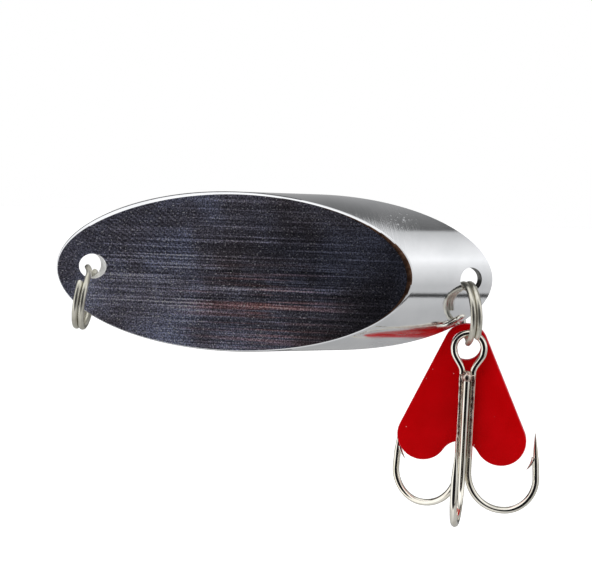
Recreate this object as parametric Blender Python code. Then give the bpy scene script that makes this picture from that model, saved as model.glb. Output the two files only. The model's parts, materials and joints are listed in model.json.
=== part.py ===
"""A casting spoon: an oblique slice of plated brass rod, two split rings, a treble hook and a red tag.

Metres, +Z up. The origin is the centre of the flat back oval, +Y is that oval's outward normal,
and +X runs along the spoon from its nose (line end) to its tail (hook end).
"""

import math

import bmesh
import bpy
from mathutils import Matrix, Vector

MM = 0.001
UP = Vector((0, 0, 1))

# Spoon body: a round rod sliced by two slanting cuts
ROD_RADIUS = 8.8 * MM
CUT_ANGLE = math.radians(26.6)
THICKNESS = 4.85 * MM
EDGE_BREAK = 0.22 * MM
ROD_SIDES = 88

# Holes for the rings
HOLE_RADIUS = 1.38 * MM
NOSE_HOLE_INSET = 4.2 * MM
TAIL_HOLE_INSET = 3.5 * MM
HOLE_SIDES = 28

# Split rings: two turns of one wire, side by side, crossing over at a joggle
RING_OUTER_DIAMETER = 7.6 * MM
RING_WIRE = 0.66 * MM
COIL_GAP = 0.43 * MM
JOGGLE_ANGLE = math.radians(62)
RING_END_ANGLE = math.radians(46)
RING_POINTS_PER_TURN = 40
RING_WIRE_SIDES = 8
RING_SEAT_CLEARANCE = 0.1 * MM
NOSE_RING_YAW = math.radians(7)
NOSE_RING_LEAN = math.radians(-9)
TAIL_RING_YAW = math.radians(12)
TAIL_RING_LEAN = math.radians(4)
NOSE_RING_SPIN = math.radians(168)
TAIL_RING_SPIN = math.radians(0)

# Treble hook: a double hook bent from one wire round the eye, and a third hook brazed to it
HOOK_WIRE = 0.78 * MM
LEG_SPACING = 1.2 * MM
EYE_INNER_RADIUS = 1.3 * MM
EYE_CLEARANCE = 0.2 * MM
EYE_SWEEP = math.radians(205)
EYE_DROP = 2.75 * MM
SHANK_LENGTH = 11.3 * MM
HOOK_GAP = 8.1 * MM
BEND_RADIUS_IN = 4.6 * MM
BEND_RADIUS_OUT = 3.5 * MM
POINT_RISE = 5.3 * MM
POINT_TAPER = 3.6 * MM
POINT_LEAN = math.radians(4)
ARM_SPREAD = math.radians(112)
THIRD_HOOK_TOP = 0.35 * MM
WIRE_CLEARANCE = 0.06 * MM
BARB_LENGTH = 1.4 * MM
BARB_HEIGHT = 0.4 * MM
BARB_BELOW_TIP = 2.9 * MM
BARB_WIDTH = 0.408 * MM
BARB_ROOT_LENGTH = 0.98 * MM
HOOK_SIDES = 8
HOOK_YAW = math.radians(-10.5)
HOOK_FORWARD = 0.35 * MM

# Braze that joins the three shank wires
BRAZE_LENGTH = 2.6 * MM
BRAZE_WALL = 0.18 * MM
BRAZE_BELOW_EYE = 0.7 * MM
BRAZE_WIRE_CLEARANCE = 0.024 * MM
BRAZE_SIDES = 20

# Red tag
TAG_THICKNESS = 0.9 * MM
TAG_HOLE_RADIUS = 1.6 * MM
TAG_TOP_RADIUS = 2.5 * MM
TAG_TOP_RISE = 0.0 * MM
TAG_LOBE_RADIUS = 2.9 * MM
TAG_LOBE_SPREAD = 4.45 * MM
TAG_LOBE_DROP = 10.7 * MM
TAG_NOTCH_DROP = 11.1 * MM
TAG_EDGE_BREAK = 0.15 * MM
TAG_YAW = math.radians(-8)
TAG_BEHIND = 1.25 * MM
TAG_ASIDE = 0.14 * MM
TAG_ARC_STEPS = 12
TAG_CLEARANCE = 0.28 * MM


def clear_scene():
    for old in list(bpy.data.objects):
        bpy.data.objects.remove(old)


def material(name, colour, metallic, roughness):
    made = bpy.data.materials.new(name)
    made.use_nodes = True
    shader = made.node_tree.nodes["Principled BSDF"]
    shader.inputs["Base Color"].default_value = (*colour, 1)
    shader.inputs["Metallic"].default_value = metallic
    shader.inputs["Roughness"].default_value = roughness
    return made


def add_object(name, mesh, finish=None, parent=None):
    made = bpy.data.objects.new(name, mesh)
    bpy.context.scene.collection.objects.link(made)
    made.parent = parent
    if finish:
        mesh.materials.append(finish)
        mesh.shade_smooth()
        mesh.set_sharp_from_angle(angle=math.radians(35))
    return made


def add_pivot(name, place, yaw=0.0, parent=None):
    """An empty at a joint, turned about the vertical."""
    made = bpy.data.objects.new(name, None)
    bpy.context.scene.collection.objects.link(made)
    made.parent = parent
    made.location = place
    made.rotation_euler = (0, 0, yaw)
    return made


def mesh_from(name, build):
    """A mesh made by a function that fills an empty bmesh."""
    shape = bmesh.new()
    build(shape)
    bmesh.ops.recalc_face_normals(shape, faces=shape.faces)
    mesh = bpy.data.meshes.new(name)
    shape.to_mesh(mesh)
    shape.free()
    return mesh


def helper(name, mesh, parent=None):
    """A cutter or an addition that shows only through a Boolean."""
    made = add_object(name, mesh, parent=parent)
    made.hide_render = True
    made.display_type = "WIRE"
    return made


def boolean(target, other, operation):
    step = target.modifiers.new(other.name, "BOOLEAN")
    step.object = other
    step.operation = operation


def sweep(shape, points, radii, sides):
    """A closed tube of round section along points, with its own radius at each one."""
    rings = []
    side = None
    for i, point in enumerate(points):
        before, after = points[max(i - 1, 0)], points[min(i + 1, len(points) - 1)]
        along = (after - before).normalized()
        if side is None:
            side = along.orthogonal().normalized()
        side = (side - along * side.dot(along)).normalized()
        across = along.cross(side)
        rings.append([
            shape.verts.new(point + radii[i] * (side * math.cos(turn) + across * math.sin(turn)))
            for turn in (2 * math.pi * k / sides for k in range(sides))
        ])
    for low, high in zip(rings, rings[1:]):
        for k in range(sides):
            shape.faces.new((low[k], low[k - 1], high[k - 1], high[k]))
    shape.faces.new(rings[0])
    shape.faces.new(reversed(rings[-1]))


def arc(centre, radius, start, end, steps):
    """Points (u, v) on an arc, both ends included, angles in radians."""
    turns = [start + (end - start) * i / steps for i in range(steps + 1)]
    return [(centre[0] + radius * math.cos(t), centre[1] + radius * math.sin(t)) for t in turns]


# Spoon body

ROD_AXIS = Vector((math.cos(CUT_ANGLE), math.sin(CUT_ANGLE), 0))
ROD_FACING = Vector((math.sin(CUT_ANGLE), -math.cos(CUT_ANGLE), 0))
BACK_NORMAL = Vector((0, 1, 0))
FRONT_CENTRE = -ROD_AXIS * (THICKNESS / math.sin(CUT_ANGLE))
OVAL_HALF_LENGTH = ROD_RADIUS / math.sin(CUT_ANGLE)


def on_cut(turn, centre, normal):
    """Where the rod's line at this turn meets the cut plane."""
    start = ROD_RADIUS * (math.cos(turn) * ROD_FACING + math.sin(turn) * UP)
    return start + ROD_AXIS * ((centre - start).dot(normal) / ROD_AXIS.dot(normal))


def fill_body(shape):
    turns = [2 * math.pi * k / ROD_SIDES for k in range(ROD_SIDES)]
    front = [shape.verts.new(on_cut(t, FRONT_CENTRE, BACK_NORMAL)) for t in turns]
    back = [shape.verts.new(on_cut(t, Vector(), BACK_NORMAL)) for t in turns]
    for k in range(ROD_SIDES):
        shape.faces.new((front[k - 1], front[k], back[k], back[k - 1]))
    faces = [shape.faces.new(front), shape.faces.new(back)]
    rims = list({edge for face in faces for edge in face.edges})
    bmesh.ops.bevel(
        shape, geom=rims, offset=EDGE_BREAK, offset_type="OFFSET", segments=2, profile=0.5,
        affect="EDGES",
    )


# Each hole is drilled square to the rod's axis, so it leans from the flats by the cut angle
NOSE_PLATE = NOSE_HOLE_INSET * math.sin(CUT_ANGLE)
TAIL_PLATE = TAIL_HOLE_INSET * math.sin(CUT_ANGLE)
NOSE_REACH = Vector((OVAL_HALF_LENGTH - NOSE_HOLE_INSET, 0, 0))
TAIL_REACH = Vector((OVAL_HALF_LENGTH - TAIL_HOLE_INSET, 0, 0))
NOSE_HOLE = FRONT_CENTRE - NOSE_REACH - ROD_FACING * (NOSE_PLATE / 2)
TAIL_HOLE = TAIL_REACH + ROD_FACING * (TAIL_PLATE / 2)


def make_body(finish):
    body = add_object("spoon_body", mesh_from("spoon_body", fill_body), finish)
    reach = ROD_FACING * ROD_RADIUS
    for name, place in (("nose_hole", NOSE_HOLE), ("tail_hole", TAIL_HOLE)):
        drill = mesh_from(
            name, lambda s: sweep(s, [place - reach, place + reach], [HOLE_RADIUS] * 2, HOLE_SIDES)
        )
        boolean(body, helper(name, drill), "DIFFERENCE")
    return body


# Split rings

RING_RADIUS = (RING_OUTER_DIAMETER - RING_WIRE) / 2
COIL_PITCH = RING_WIRE + COIL_GAP


def coil_side(turn):
    """How far along the ring's axis the wire lies, after so much turning from the first turn's middle."""
    share = (turn - math.pi) / JOGGLE_ANGLE + 0.5
    share = min(max(share, 0.0), 1.0)
    return COIL_PITCH * (0.5 - share * share * (3 - 2 * share))


def ring_points(spin):
    """The wire's centreline in the ring's own frame: its axis is X, and Z is up."""
    start = -math.pi + RING_END_ANGLE
    end = 3 * math.pi - RING_END_ANGLE
    count = round((end - start) / (2 * math.pi) * RING_POINTS_PER_TURN)
    turns = [start + (end - start) * i / count for i in range(count + 1)]
    return [
        Vector((coil_side(t), RING_RADIUS * math.sin(t + spin), RING_RADIUS * math.cos(t + spin)))
        for t in turns
    ]


def least_gap(points):
    """The least clear distance between parts of the wire that aren't neighbours along it."""
    apart = RING_POINTS_PER_TURN // 3
    nearest = min(
        (a - b).length for i, a in enumerate(points) for b in points[i + apart:]
    )
    return nearest - RING_WIRE


def seat_depth(plate, yaw, lean):
    """How far below the hole's centre the wire can lie before a turn meets the hole's wall."""
    room = HOLE_RADIUS * math.cos(math.pi / HOLE_SIDES) - RING_WIRE / 2 - RING_SEAT_CLEARANCE
    aside = COIL_PITCH / 2 + plate / 2 * math.tan(abs(CUT_ANGLE - yaw))
    curve = RING_RADIUS - math.sqrt(RING_RADIUS**2 - (plate / 2) ** 2)
    tilt = COIL_PITCH / 2 * math.sin(abs(lean))
    return math.sqrt(room**2 - aside**2) - curve - tilt


NOSE_SEAT = seat_depth(NOSE_PLATE, NOSE_RING_YAW, NOSE_RING_LEAN)
TAIL_SEAT = seat_depth(TAIL_PLATE, TAIL_RING_YAW, TAIL_RING_LEAN)


def leaned(point, lean):
    """A point of a hanging ring, in its pivot's frame, with the ring's foot swung along +X."""
    return Matrix.Rotation(-lean, 3, "Y") @ point


def make_ring(name, hole, seat, yaw, lean, spin, finish):
    """A split ring hanging in a hole, parented to an empty on the hole's axis."""
    points = ring_points(spin)
    print(f"{name}: least gap between its turns {least_gap(points) / MM:.2f} mm")
    centred = [leaned(p - UP * (seat + RING_RADIUS), lean) for p in points]
    mesh = mesh_from(
        name, lambda s: sweep(s, centred, [RING_WIRE / 2] * len(centred), RING_WIRE_SIDES)
    )
    pivot = add_pivot(f"{name}_pivot", hole, yaw)
    add_object(name, mesh, finish, pivot)
    return pivot


# Treble hook, in its own frame: the eye's centre is the origin, the shank hangs along -Z, -Y is its front

LEG_ASIDE = LEG_SPACING / 2
THIRD_FORWARD = math.sqrt((HOOK_WIRE + WIRE_CLEARANCE) ** 2 - LEG_ASIDE**2)
EYE_RADIUS = EYE_INNER_RADIUS + HOOK_WIRE / 2
SHANK_BOTTOM = -EYE_DROP - SHANK_LENGTH
SHANK_STEPS = 6
BEND_STEPS = 9
POINT_STEPS = 5
EYE_STEPS = 18
NECK_STEPS = 6
TIP_RADIUS = 0.05 * MM


def bend_profile():
    """(out, height) from the shank's foot round the bend to the tip, and the wire's radius there.

    The bend is round at the shank and tighter at the point, and the point leans in a little.
    """
    low = SHANK_BOTTOM - BEND_RADIUS_IN
    flat_end = HOOK_GAP - BEND_RADIUS_OUT
    profile = arc((BEND_RADIUS_IN, SHANK_BOTTOM), BEND_RADIUS_IN, math.pi, 1.5 * math.pi, BEND_STEPS)
    profile += arc(
        (flat_end, low + BEND_RADIUS_OUT), BEND_RADIUS_OUT, -math.pi / 2, POINT_LEAN, BEND_STEPS
    )
    foot = profile[-1]
    lean = (-math.sin(POINT_LEAN), math.cos(POINT_LEAN))
    rises = [POINT_RISE * (i + 1) / POINT_STEPS for i in range(POINT_STEPS)]
    profile += [(foot[0] + lean[0] * r, foot[1] + lean[1] * r) for r in rises]
    tip = profile[-1]
    radii = []
    for out, height in profile:
        below = (tip[1] - height) / POINT_TAPER if out > flat_end else 1.0
        radii.append(max(TIP_RADIUS, HOOK_WIRE / 2 * min(1.0, below) ** 0.8))
    return profile, radii


def arm_points(azimuth, leg):
    """A hook arm below one shank wire: from its foot, round the bend to the tip."""
    out = Vector((math.sin(azimuth), -math.cos(azimuth), 0))
    profile, radii = bend_profile()
    return [leg + out * o + UP * h for o, h in profile], radii


def fill_barb(shape, azimuth, leg):
    """A sliver raised on the inside of the point, leaning back from the tip."""
    out = Vector((math.sin(azimuth), -math.cos(azimuth), 0))
    across = UP.cross(out)
    tip = arm_points(azimuth, leg)[0][-1]
    root = tip - UP * BARB_BELOW_TIP
    half = BARB_WIDTH / 2
    free = root - UP * BARB_LENGTH - out * (HOOK_WIRE / 2 + BARB_HEIGHT)
    corners = [
        root - across * half, root + across * half,
        root - UP * BARB_ROOT_LENGTH + across * half, root - UP * BARB_ROOT_LENGTH - across * half,
        free,
    ]
    verts = [shape.verts.new(c) for c in corners]
    shape.faces.new(verts[:4])
    for k in range(4):
        shape.faces.new((verts[k], verts[(k + 1) % 4], verts[4]))


def eye_points():
    """The eye's loop from the foot of the right leg's neck, over the top, to the left leg's neck."""
    loop = arc(
        (0, 0), EYE_RADIUS, (math.pi - EYE_SWEEP) / 2, (math.pi + EYE_SWEEP) / 2, EYE_STEPS
    )
    neck = []
    first = loop[0]
    for i in range(1, NECK_STEPS):
        share = i / NECK_STEPS
        ease = share * share * (3 - 2 * share)
        neck.append((LEG_ASIDE + (first[0] - LEG_ASIDE) * ease, -EYE_DROP + (first[1] + EYE_DROP) * share))
    right = [Vector((x, 0, z)) for x, z in neck]
    left = [Vector((-p.x, 0, p.z)) for p in reversed(right)]
    return right + [Vector((x, 0, z)) for x, z in loop] + left


def shank_points(leg, top):
    """From the shank's foot, just above the bend, up to the given height."""
    return [
        leg + UP * (SHANK_BOTTOM + (top - SHANK_BOTTOM) * i / SHANK_STEPS)
        for i in range(1, SHANK_STEPS + 1)
    ]


def fill_double_hook(shape):
    right, left = Vector((LEG_ASIDE, 0, 0)), Vector((-LEG_ASIDE, 0, 0))
    arm_right, radii = arm_points(ARM_SPREAD, right)
    arm_left, _ = arm_points(-ARM_SPREAD, left)
    middle = shank_points(right, -EYE_DROP) + eye_points() + shank_points(left, -EYE_DROP)[::-1]
    points = arm_right[::-1] + middle + arm_left
    sweep(shape, points, radii[::-1] + [HOOK_WIRE / 2] * len(middle) + radii, HOOK_SIDES)


def fill_third_hook(shape):
    leg = Vector((0, -THIRD_FORWARD, 0))
    arm, radii = arm_points(0.0, leg)
    shank = shank_points(leg, -EYE_DROP - THIRD_HOOK_TOP)
    sweep(shape, arm[::-1] + shank, radii[::-1] + [HOOK_WIRE / 2] * len(shank), HOOK_SIDES)


def fill_braze(shape):
    """A bead round the three wires, just under the eye: a round-cornered triangle in plan."""
    top = -EYE_DROP - BRAZE_BELOW_EYE
    radius = HOOK_WIRE / 2 + BRAZE_WALL
    slope = math.atan2(LEG_ASIDE, THIRD_FORWARD)
    corners = (
        (0, -THIRD_FORWARD, slope - math.pi, -slope),
        (LEG_ASIDE, 0, -slope, math.pi / 2),
        (-LEG_ASIDE, 0, math.pi / 2, math.pi + slope),
    )
    outline = [
        point for x, y, start, end in corners
        for point in arc((x, y), radius, start, end, BRAZE_SIDES // 3)
    ]
    low = [shape.verts.new((x, y, top - BRAZE_LENGTH)) for x, y in outline]
    high = [shape.verts.new((x, y, top)) for x, y in outline]
    for k in range(len(outline)):
        shape.faces.new((low[k - 1], low[k], high[k], high[k - 1]))
    shape.faces.new(low)
    shape.faces.new(high)


def fill_wire_room(shape, leg):
    """Room for one shank wire through the braze."""
    ends = [leg + UP * (-EYE_DROP + HOOK_WIRE), leg + UP * SHANK_BOTTOM]
    sweep(shape, ends, [HOOK_WIRE / 2 + BRAZE_WIRE_CLEARANCE] * 2, 2 * HOOK_SIDES)


def make_treble(pivot, finish, braze_finish):
    double = add_object("double_hook", mesh_from("double_hook", fill_double_hook), finish, pivot)
    third = add_object("third_hook", mesh_from("third_hook", fill_third_hook), finish, pivot)
    braze = add_object("braze_bead", mesh_from("braze_bead", fill_braze), braze_finish, pivot)
    for name, hook, azimuth, leg in (
        ("right", double, ARM_SPREAD, Vector((LEG_ASIDE, 0, 0))),
        ("left", double, -ARM_SPREAD, Vector((-LEG_ASIDE, 0, 0))),
        ("front", third, 0.0, Vector((0, -THIRD_FORWARD, 0))),
    ):
        barb = mesh_from(f"{name}_barb", lambda s: fill_barb(s, azimuth, leg))
        boolean(hook, helper(f"{name}_barb", barb, pivot), "UNION")
        room = mesh_from(f"{name}_room", lambda s: fill_wire_room(s, leg))
        boolean(braze, helper(f"{name}_room", room, pivot), "DIFFERENCE")


# Red tag, in its own frame: its hole's centre is the origin and it hangs along -Z

def tag_outline():
    """The outline as (x, z): a round top, two round lobes and a soft notch between them."""
    top = (0.0, TAG_TOP_RISE)
    lobe = (TAG_LOBE_SPREAD, -TAG_LOBE_DROP)
    reach = math.hypot(lobe[0] - top[0], lobe[1] - top[1])
    slope = math.atan2(lobe[1] - top[1], lobe[0] - top[0])
    tangent = slope + math.acos((TAG_TOP_RADIUS - TAG_LOBE_RADIUS) / reach)
    rise = TAG_NOTCH_DROP - TAG_LOBE_DROP
    notch = (TAG_LOBE_SPREAD**2 + rise**2 - TAG_LOBE_RADIUS**2) / (2 * (TAG_LOBE_RADIUS - rise))
    notch_centre = (0.0, -TAG_NOTCH_DROP - notch)
    meet = math.atan2(notch_centre[1] - lobe[1], notch_centre[0] - lobe[0])
    crown = arc(top, TAG_TOP_RADIUS, math.pi / 2, tangent, TAG_ARC_STEPS // 2)
    right_lobe = arc(lobe, TAG_LOBE_RADIUS, tangent, meet, TAG_ARC_STEPS)
    hollow = arc(notch_centre, notch, meet + math.pi, math.pi / 2, TAG_ARC_STEPS // 3)
    half = crown + right_lobe + hollow[1:]
    return half + [(-x, z) for x, z in reversed(half[1:-1])]


def fill_tag(shape):
    front, back = -TAG_THICKNESS / 2, TAG_THICKNESS / 2
    outline = tag_outline()
    low = [shape.verts.new((x, front, z)) for x, z in outline]
    high = [shape.verts.new((x, back, z)) for x, z in outline]
    for k in range(len(outline)):
        shape.faces.new((low[k - 1], low[k], high[k], high[k - 1]))
    faces = [shape.faces.new(low), shape.faces.new(high)]
    rims = list({edge for face in faces for edge in face.edges})
    bmesh.ops.bevel(
        shape, geom=rims, offset=TAG_EDGE_BREAK, offset_type="OFFSET", segments=1, profile=0.5,
        affect="EDGES",
    )


def make_tag(pivot, finish):
    tag = add_object("attractor_tag", mesh_from("attractor_tag", fill_tag), finish, pivot)
    reach = Vector((0, 2 * TAG_THICKNESS, 0))
    drill = mesh_from(
        "tag_hole", lambda s: sweep(s, [-reach, reach], [TAG_HOLE_RADIUS] * 2, HOLE_SIDES)
    )
    boolean(tag, helper("tag_hole", drill, pivot), "DIFFERENCE")


def hanging_centre(hole_radius, plate, yaw, forward, clearance):
    """The centre of a hole that hangs on the tail ring's lower wires, in the pivot's frame.

    The hole goes through a plate, is turned by yaw, and hangs this far in front of the ring's middle.
    """
    lean = math.asin(forward / RING_RADIUS)
    wire = leaned(
        Vector((0, -forward, -TAIL_SEAT - RING_RADIUS * (1 + math.cos(lean)))), TAIL_RING_LEAN
    )
    room = hole_radius * math.cos(math.pi / HOLE_SIDES) - RING_WIRE / 2 - clearance
    aside = COIL_PITCH / 2 + plate / 2 * math.tan(abs(yaw - TAIL_RING_YAW))
    return wire - UP * (math.sqrt(room**2 - aside**2) - plate / 2 * math.tan(abs(lean)))


def main():
    clear_scene()
    chrome = material("bright_chrome", (0.75, 0.76, 0.78), 1.0, 0.12)
    steel = material("ring_steel", (0.55, 0.53, 0.48), 1.0, 0.25)
    nickel = material("hook_nickel", (0.72, 0.68, 0.58), 1.0, 0.18)
    braze = material("braze_metal", (0.66, 0.62, 0.52), 1.0, 0.4)
    red = material("tag_red", (0.42, 0.004, 0.008), 0.0, 0.35)
    make_body(chrome)
    make_ring(
        "nose_split_ring", NOSE_HOLE, NOSE_SEAT, NOSE_RING_YAW, NOSE_RING_LEAN, NOSE_RING_SPIN, steel
    )
    pivot = make_ring(
        "tail_split_ring", TAIL_HOLE, TAIL_SEAT, TAIL_RING_YAW, TAIL_RING_LEAN, TAIL_RING_SPIN, steel
    )
    eye = hanging_centre(EYE_INNER_RADIUS, HOOK_WIRE / 2, HOOK_YAW, HOOK_FORWARD, EYE_CLEARANCE)
    make_treble(add_pivot("treble_pivot", eye, HOOK_YAW - TAIL_RING_YAW, pivot), nickel, braze)
    tag_hole = hanging_centre(TAG_HOLE_RADIUS, TAG_THICKNESS, TAG_YAW, -TAG_BEHIND, TAG_CLEARANCE)
    tag_hole.x += TAG_ASIDE
    make_tag(add_pivot("tag_pivot", tag_hole, TAG_YAW - TAIL_RING_YAW, pivot), red)


main()
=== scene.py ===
# %% [markdown]
# # Spoon lure
# A casting spoon hangs from a split ring at its nose, and carries a treble hook and a red tag at
# its tail. The packed solids already give every size and place. They could be shown as they are,
# but their edges are plain, so each one gets a finer mesh in the same place, with a metal or
# plastic finish of its own.

# %% Load the frame
import json
import math

import bmesh
import bpy
from mathutils import Matrix, Vector, noise


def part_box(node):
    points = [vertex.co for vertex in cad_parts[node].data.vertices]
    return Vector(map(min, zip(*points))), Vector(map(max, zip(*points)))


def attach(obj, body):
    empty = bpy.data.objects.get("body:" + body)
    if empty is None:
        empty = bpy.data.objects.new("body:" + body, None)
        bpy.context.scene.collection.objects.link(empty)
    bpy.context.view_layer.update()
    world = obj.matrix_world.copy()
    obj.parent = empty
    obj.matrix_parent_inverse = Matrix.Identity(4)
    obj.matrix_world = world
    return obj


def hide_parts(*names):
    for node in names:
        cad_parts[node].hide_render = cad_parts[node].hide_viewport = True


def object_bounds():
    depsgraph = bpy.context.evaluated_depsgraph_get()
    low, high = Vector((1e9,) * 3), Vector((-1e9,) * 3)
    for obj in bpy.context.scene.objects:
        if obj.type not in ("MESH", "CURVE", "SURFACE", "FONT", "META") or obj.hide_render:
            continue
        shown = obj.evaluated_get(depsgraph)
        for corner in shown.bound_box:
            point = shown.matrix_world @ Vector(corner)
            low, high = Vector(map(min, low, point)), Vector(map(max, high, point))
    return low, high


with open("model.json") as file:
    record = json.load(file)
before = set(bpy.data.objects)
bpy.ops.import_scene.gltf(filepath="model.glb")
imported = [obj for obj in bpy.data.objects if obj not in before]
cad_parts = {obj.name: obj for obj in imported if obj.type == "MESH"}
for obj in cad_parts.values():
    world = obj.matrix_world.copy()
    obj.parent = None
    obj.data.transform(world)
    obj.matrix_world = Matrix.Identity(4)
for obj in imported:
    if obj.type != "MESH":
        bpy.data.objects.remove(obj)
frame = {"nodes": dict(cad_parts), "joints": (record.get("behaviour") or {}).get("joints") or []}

MM = 0.001
cad_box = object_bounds()
print("nodes:", ", ".join(frame["nodes"]))

# %% [markdown]
# ## Camera
# The lure is seen close up, from a little above, with the picture rolled so that the spoon slopes
# down to the right. A camera can be placed by eye, but three turns about a target are easier to fit
# and to read.

# %% Camera
PICTURE_WIDTH, SENSOR_WIDTH = 592, 36


def aim_camera(target, distance, yaw, pitch, roll, focal_px):
    level = math.cos(pitch)
    forward = Vector((math.sin(yaw) * level, math.cos(yaw) * level, -math.sin(pitch)))
    right = Vector((math.cos(yaw), -math.sin(yaw), 0))
    up = right.cross(forward)
    right, up = (
        right * math.cos(roll) + up * math.sin(roll), up * math.cos(roll) - right * math.sin(roll)
    )
    place = target - forward * distance
    turn = Matrix((right, up, -forward)).transposed()
    lens = bpy.data.cameras.new("camera")
    lens.sensor_fit, lens.sensor_width = "HORIZONTAL", SENSOR_WIDTH
    lens.lens = focal_px / PICTURE_WIDTH * SENSOR_WIDTH
    lens.clip_start, lens.clip_end = 0.005, 5
    camera = bpy.data.objects.new("camera", lens)
    camera.matrix_world = Matrix.Translation(place) @ turn.to_4x4()
    bpy.context.scene.collection.objects.link(camera)
    bpy.context.scene.camera = camera


aim_camera(
    target=Vector((-2.588, -2.6, -2.107)) * MM, distance=0.130,
    yaw=math.radians(-3.45), pitch=math.radians(5.41), roll=math.radians(2.18), focal_px=1162,
)
print("camera at", bpy.context.scene.camera.location)

# %% [markdown]
# ## Node helpers
# Every finish here is procedural, so it is made of nodes. They can be wired in the shader editor,
# but a few short calls keep a recipe of noise, ramps and mixes on one line each. The surround uses
# them too.

# %% Node helpers
def grey(value):
    return (value, value, value, 1)


class Nodes:
    """Short calls that add nodes to one tree."""

    def __init__(self, tree):
        self.tree = tree

    def node(self, kind, inputs=(), **settings):
        made = self.tree.nodes.new(kind)
        for key, value in settings.items():
            setattr(made, key, value)
        for key, value in dict(inputs).items():
            if isinstance(value, bpy.types.NodeSocket):
                self.tree.links.new(value, made.inputs[key])
            else:
                made.inputs[key].default_value = value
        return made

    def noise(self, where, scale, detail=4.0, roughness=0.5):
        return self.node("ShaderNodeTexNoise", {
            "Vector": where, "Scale": scale, "Detail": detail, "Roughness": roughness,
        }).outputs[0]

    def ramp(self, value, stops):
        made = self.node("ShaderNodeValToRGB", {"Fac": value})
        points = made.color_ramp.elements
        while len(points) < len(stops):
            points.new(0.5)
        for point, (at, colour) in zip(points, stops):
            point.position = at
            point.color = (*colour, 1) if isinstance(colour, tuple) else grey(colour)
        return made.outputs["Color"]

    def span(self, value, low, high, to_low=0.0, to_high=1.0):
        return self.node("ShaderNodeMapRange", {
            "Value": value, "From Min": low, "From Max": high, "To Min": to_low, "To Max": to_high,
        }).outputs[0]

    def mix(self, factor, first, second, blend="MIX"):
        return self.node(
            "ShaderNodeMixRGB", {"Fac": factor, "Color1": first, "Color2": second}, blend_type=blend
        ).outputs[0]

    def maths(self, operation, first, second):
        return self.node("ShaderNodeMath", {0: first, 1: second}, operation=operation).outputs[0]

    def both(self, first, second):
        return self.maths("MULTIPLY", first, second)

    def along(self, where, axis):
        """How far a place or direction lies along an axis."""
        return self.node(
            "ShaderNodeVectorMath", {0: where, 1: tuple(axis)}, operation="DOT_PRODUCT"
        ).outputs["Value"]


print("calls:", ", ".join(call for call in vars(Nodes) if not call.startswith("_")))

# %% [markdown]
# ## A finish
# A finish is a Principled material with nodes feeding its inputs. Patterns could follow a UV map,
# but object coordinates need none, and they keep a stroke of brushing straight across a whole face.

# %% A finish
class Finish(Nodes):
    """A Principled material whose inputs are fed by nodes."""

    def __init__(self, name, colour, metallic, roughness):
        self.material = bpy.data.materials.new(name)
        self.material.use_nodes = True
        super().__init__(self.material.node_tree)
        self.shader = self.tree.nodes["Principled BSDF"]
        self.set("Base Color", (*colour, 1))
        self.set("Metallic", metallic)
        self.set("Roughness", roughness)
        self.where = self.node("ShaderNodeTexCoord").outputs["Object"]

    def set(self, socket, value):
        self.shader.inputs[socket].default_value = value

    def feed(self, socket, output):
        self.tree.links.new(output, self.shader.inputs[socket])

    def place(self, scale=(1, 1, 1), turn=(0, 0, 0), move=(0, 0, 0)):
        """Object coordinates, turned and then stretched."""
        turned = self.node(
            "ShaderNodeMapping", {"Vector": self.where, "Rotation": turn, "Location": move}
        ).outputs[0]
        return self.node("ShaderNodeMapping", {"Vector": turned, "Scale": scale}).outputs[0]

    def spot(self, centre, reach):
        """A soft round patch, in millimetres: 1 at its centre, 0 at its reach along each axis."""
        stretch = tuple(1 / (r * MM) for r in reach)
        shift = tuple(-c * MM for c in centre)
        return self.node("ShaderNodeTexGradient", {
            "Vector": self.place(scale=stretch, move=shift),
        }, gradient_type="SPHERICAL").outputs[0]

    def times(self, first, second):
        return self.mix(1.0, first, second, "MULTIPLY")

    def bump(self, height, strength, depth):
        made = self.node(
            "ShaderNodeBump", {"Height": height, "Strength": strength, "Distance": depth}
        )
        self.feed("Normal", made.outputs[0])


print("calls of a finish:", ", ".join(call for call in vars(Finish) if not call.startswith("_")))

# %% [markdown]
# ## Chrome
# The spoon's round side is polished plate. Plain metal with low roughness would pass for it at a
# distance, but real plate has faint polishing lines round the bar, and fine pits that break up the
# edges of its reflections. This one is also scuffed low on its tail end, and pitted in a small
# patch higher up.

# %% Chrome
CUT_ANGLE = math.radians(26.6)
ALONG_BAR = (0, 0, -CUT_ANGLE)
SCUFFED_ROUGHNESS, PITTED_ROUGHNESS = 0.3, 0.6
SHALLOW = 0.02 * MM


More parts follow.
